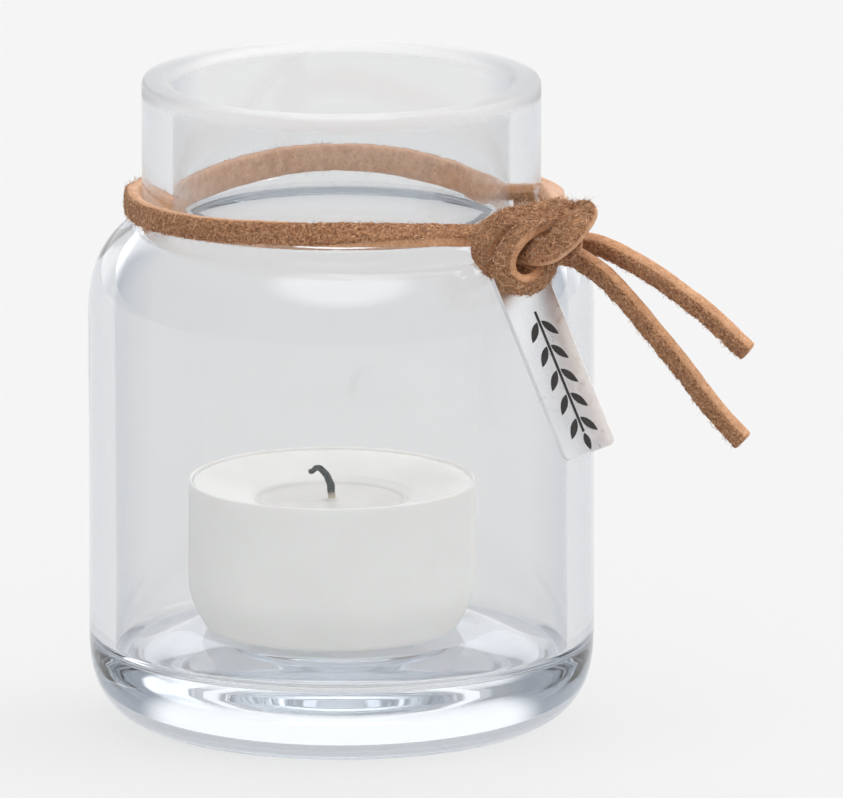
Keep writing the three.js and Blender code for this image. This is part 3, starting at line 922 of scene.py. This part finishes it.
def route_length(points):
    rows = smooth_route(points, 0.2)
    return float(np.linalg.norm(np.diff(rows[:, :3], axis=0), axis=1).sum())


def make_lace():
    rng = random.Random(FIBRE_SEED)
    materials = [leather_material(), fibre_material()]

    loop = Lace()
    route = [
        (radius * math.sin(math.radians(bearing)), -radius * math.cos(math.radians(bearing)), height, roll)
        for bearing, radius, height, roll in LOOP
    ]
    loop.strand(route, radial, LOOP_FIBRES, rng, step=LOOP_STEP, seed=1.0)
    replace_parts(loop.piece("lace_round_neck", materials), "lace_loop")

    knot = Lace()
    for index, strand in enumerate(KNOT_STRANDS):
        route = [(*seen(*point), 0) for point in strand["points"]]
        knot.strand(
            route, strand["face"], strand["hairs"], rng, hair_size=KNOT_FIBRE_SIZE,
            width=strand["width"], thickness=strand["thickness"], seed=2.0 + index,
        )
    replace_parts(knot.piece("lace_knot_turns", materials), "lace_knot")

    for name, node, points, roll in (
        ("lace_end_upper", "lace_tail_upper", UPPER_TAIL, 54),
        ("lace_end_lower", "lace_tail_lower", LOWER_TAIL, 50),
    ):
        tail = Lace()
        tail.strand(
            [(*point, roll) for point in points], frontward, TAIL_FIBRES, rng,
            seed=9.0, width=TAIL_WIDTH, hair_size=TAIL_FIBRE_SIZE,
        )
        piece = tail.piece(name, materials)
        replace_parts(piece, node)
        path = [tuple(row[:3] * MM) for row in smooth_route([(*point, 0) for point in points], 0.5)]
        route_length(points) * MM


# ---- tag ------------------------------------------------------------------------------------------
TAG_LENGTH = 26.6
TAG_WIDTH = 8.6
TAG_THICKNESS = 0.8
TAG_CORNER = 1.0
TAG_HOLE_RADIUS = 1.5
TAG_HOLE_FROM_TOP = 3.1
TAG_BEVEL = 0.12
SPRIG_FROM = -3.6
SPRIG_TO = -20.6
SPRIG_HEIGHT = 0.06
SPRIG_BEVEL = 0.012
STEM_HALF = 0.2
LEAF_PAIRS = 5
LEAF_LENGTH = 3.1
LEAF_WIDTH = 1.25


def tag_frame():
    across = Vector((-TAG_NORMAL.y, TAG_NORMAL.x, 0)).normalized()
    up = TAG_NORMAL.cross(across)
    turned_across = across * math.cos(TAG_TILT) + up * math.sin(TAG_TILT)
    turned_up = up * math.cos(TAG_TILT) - across * math.sin(TAG_TILT)
    matrix = Matrix((turned_across, turned_up, TAG_NORMAL)).transposed().to_4x4()
    matrix.translation = TAG_HOLE * MM
    return matrix


def flat_piece(name, outlines, thickness, bevel, height, material):
    """A flat piece on the tag from closed outlines in the tag's plane; inner outlines are holes."""
    curve = bpy.data.curves.new(name, "CURVE")
    curve.dimensions = "2D"
    curve.fill_mode = "BOTH"
    curve.extrude = (thickness / 2 - bevel) * MM
    curve.bevel_depth = bevel * MM
    curve.bevel_resolution = 3
    curve.offset = -bevel * MM
    for outline in outlines:
        spline = curve.splines.new("POLY")
        spline.points.add(len(outline) - 1)
        for point, (x, y) in zip(spline.points, outline):
            point.co = (x * MM, y * MM, 0, 1)
        spline.use_cyclic_u = True
    shape = bpy.data.objects.new(name, curve)
    bpy.context.scene.collection.objects.link(shape)
    shape.matrix_world = tag_frame() @ Matrix.Translation((0, 0, height * MM))
    bpy.context.view_layer.update()
    mesh = bpy.data.meshes.new_from_object(shape.evaluated_get(bpy.context.evaluated_depsgraph_get()))
    mesh.transform(shape.matrix_world)
    bpy.data.objects.remove(shape)
    mesh.materials.clear()
    mesh.materials.append(material)
    piece = bpy.data.objects.new(name, mesh)
    bpy.context.scene.collection.objects.link(piece)
    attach(piece, "tag")
    return piece


def circle(centre, radius, count, clockwise=False):
    turns = [(-1 if clockwise else 1) * 2 * math.pi * i / count for i in range(count)]
    return [(centre[0] + radius * math.cos(a), centre[1] + radius * math.sin(a)) for a in turns]


def tag_outline():
    right, top, bottom = TAG_WIDTH / 2, TAG_HOLE_FROM_TOP, TAG_HOLE_FROM_TOP - TAG_LENGTH
    corners = [(right, bottom, -90), (right, top, 0), (-right, top, 90), (-right, bottom, 180)]
    points = []
    for x, y, start in corners:
        centre = (x - math.copysign(TAG_CORNER, x), y - TAG_CORNER if y > 0 else y + TAG_CORNER)
        for i in range(9):
            angle = math.radians(start + 90 * i / 8)
            x_turn, y_turn = TAG_CORNER * math.cos(angle), TAG_CORNER * math.sin(angle)
            points.append((centre[0] + x_turn, centre[1] + y_turn))
    return points


def leaf(base, direction, length, width):
    """A pointed leaf outline that starts at base and grows along direction."""
    ahead = Vector(direction).normalized()
    side = Vector((-ahead.y, ahead.x))
    places = (0.0, 0.12, 0.3, 0.5, 0.7, 0.88, 1.0)
    shape = [(s, math.sin(math.pi * s) ** 0.8 * (1 - 0.25 * s)) for s in places]
    right = [Vector(base) + ahead * (length * s) - side * (width / 2 * w) for s, w in shape]
    left = [Vector(base) + ahead * (length * s) + side * (width / 2 * w) for s, w in reversed(shape[1:-1])]
    return [tuple(p) for p in right + left]


def sprig_outlines():
    """A plain sprig: a stem along the tag with leaves in pairs and one at the end."""
    start, end = SPRIG_FROM, SPRIG_TO
    stem = [(-STEM_HALF, start), (-STEM_HALF, end), (STEM_HALF, end), (STEM_HALF, start)]
    outlines = [stem]
    for i in range(LEAF_PAIRS):
        y = start - 1.4 - (start - end - 3.4) * i / (LEAF_PAIRS - 1)
        for way in (-1, 1):
            outlines.append(leaf((0.35 * way, y), (way * 0.62, -0.78), LEAF_LENGTH, LEAF_WIDTH))
    outlines.append(leaf((0, end - 0.15), (0, -1), 2.4, 1.2))
    return outlines


def make_tag():
    hole = circle((0, 0), TAG_HOLE_RADIUS, 48, clockwise=True)
    outlines = [tag_outline(), hole]
    plate = flat_piece("tag_plate", outlines, TAG_THICKNESS, TAG_BEVEL, 0, tag_material())
    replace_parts(plate, "tag")
    above = TAG_THICKNESS / 2 + 0.01
    enamel = enamel_material()
    flat_piece("tag_sprig", sprig_outlines(), SPRIG_HEIGHT, SPRIG_BEVEL, above, enamel)


# ---- floor and light ------------------------------------------------------------------------------
FLOOR_SIZE = 12.0
FLOOR_LEVEL = -0.00004
FLOOR_GREY = (0.325, 0.323, 0.321, 1)
FLOOR_GLOW = 0.458

# Parts of the studio: where each begins and ends, and its colour. A softbox is a direction, the
# cosines of its edge and its glow.
SHEET_EDGE = (0.70, 0.84)
OVERHEAD_EDGE = (0.45, 0.75)
SIDE_COLOUR = (0.47, 0.51, 0.57)
FRONT_COLOUR = (0.66, 0.67, 0.68)
SHEET_COLOUR = (1.50, 1.50, 1.50)
OVERHEAD_COLOUR = (0.72, 0.715, 0.71)
SOFTBOXES = [
    ((0.0, -0.43, 0.90), (0.86, 0.97), (2.8, 2.8, 2.8)),
    ((0.95, 0.25, 0.75), (0.92, 0.97), (3.0, 3.0, 2.95)),
]

KEY_PLACE = (0.4, 0.3, 2.4)
KEY_AIM = (0, 0, 0.05)
KEY_SIZE = 1.6
KEY_WATTS = 6.0


def make_floor():
    mesh = bpy.data.meshes.new("floor")
    half = FLOOR_SIZE / 2
    corners = [(x, y, FLOOR_LEVEL) for x, y in ((-half, -half), (half, -half), (half, half), (-half, half))]
    mesh.from_pydata(corners, [], [(0, 1, 2, 3)])
    m = Material("floor")
    m.set(Base_Color=FLOOR_GREY, Roughness=0.9)
    m.shader.inputs["Emission Color"].default_value = (1, 1, 1, 1)
    m.shader.inputs["Emission Strength"].default_value = FLOOR_GLOW
    mesh.materials.append(m.material)
    floor = bpy.data.objects.new("floor", mesh)
    bpy.context.scene.collection.objects.link(floor)


def make_world():
    """A soft studio: a bright sheet behind and overhead, dimmer in front, and cool and dark at the sides."""
    world = bpy.data.worlds.new("studio")
    world.use_nodes = True
    tree = world.node_tree
    nodes, links = tree.nodes, tree.links
    coordinates = nodes.new("ShaderNodeTexCoord")
    split = nodes.new("ShaderNodeSeparateXYZ")
    links.new(coordinates.outputs["Generated"], split.inputs["Vector"])

    def combine(operation, *values):
        node = nodes.new("ShaderNodeMath")
        node.operation = operation
        for socket, value in zip(node.inputs, values):
            if isinstance(value, (int, float)):
                socket.default_value = value
            else:
                links.new(value, socket)
        return node.outputs["Value"]

    def step(value, low, high):
        node = nodes.new("ShaderNodeMapRange")
        node.interpolation_type = "SMOOTHSTEP"
        node.inputs["From Min"].default_value = low
        node.inputs["From Max"].default_value = high
        links.new(value, node.inputs["Value"])
        return node.outputs["Result"]

    def blend(factor, a, b):
        node = nodes.new("ShaderNodeMix")
        node.data_type = "RGBA"
        links.new(factor, node.inputs[0])
        for socket, value in ((node.inputs[6], a), (node.inputs[7], b)):
            if isinstance(value, tuple):
                socket.default_value = (*value, 1)
            else:
                links.new(value, socket)
        return node.outputs[2]

    x, y, z = split.outputs
    level = combine("SQRT", combine("ADD", combine("POWER", x, 2), combine("POWER", y, 2)))
    behind = combine("DIVIDE", y, combine("MAXIMUM", level, 0.001))
    front = step(combine("MULTIPLY", behind, -1), 0.3, 0.9)
    colour = blend(front, SIDE_COLOUR, FRONT_COLOUR)
    colour = blend(step(behind, *SHEET_EDGE), colour, SHEET_COLOUR)
    colour = blend(step(z, *OVERHEAD_EDGE), colour, OVERHEAD_COLOUR)
    for direction, edge, glow in SOFTBOXES:
        ahead = Vector(direction).normalized()
        parts = [combine("MULTIPLY", value, share) for value, share in zip((x, y, z), ahead)]
        towards = combine("ADD", combine("ADD", parts[0], parts[1]), parts[2])
        colour = blend(step(towards, *edge), colour, glow)
    links.new(colour, nodes["Background"].inputs["Color"])
    bpy.context.scene.world = world


def make_lights():
    data = bpy.data.lights.new("key", "AREA")
    data.shape = "SQUARE"
    data.size = KEY_SIZE
    data.energy = KEY_WATTS
    lamp = bpy.data.objects.new("key", data)
    lamp.location = KEY_PLACE
    towards_aim = Vector(KEY_AIM) - Vector(KEY_PLACE)
    lamp.rotation_euler = towards_aim.to_track_quat("-Z", "Y").to_euler()
    bpy.context.scene.collection.objects.link(lamp)


make_camera()
make_lace()
make_jar()
make_cup()
make_wax()
make_wick()
make_tag()
frame["nodes"]["wick_sustainer"].material_slots[0].material = steel_material()
make_floor()
make_world()
make_lights()
bpy.context.scene.view_settings.view_transform = "Standard"
bpy.context.scene.cycles.max_bounces = 32
bpy.context.scene.cycles.transmission_bounces = 32
bpy.context.scene.cycles.glossy_bounces = 24
bpy.context.scene.cycles.transparent_max_bounces = 24
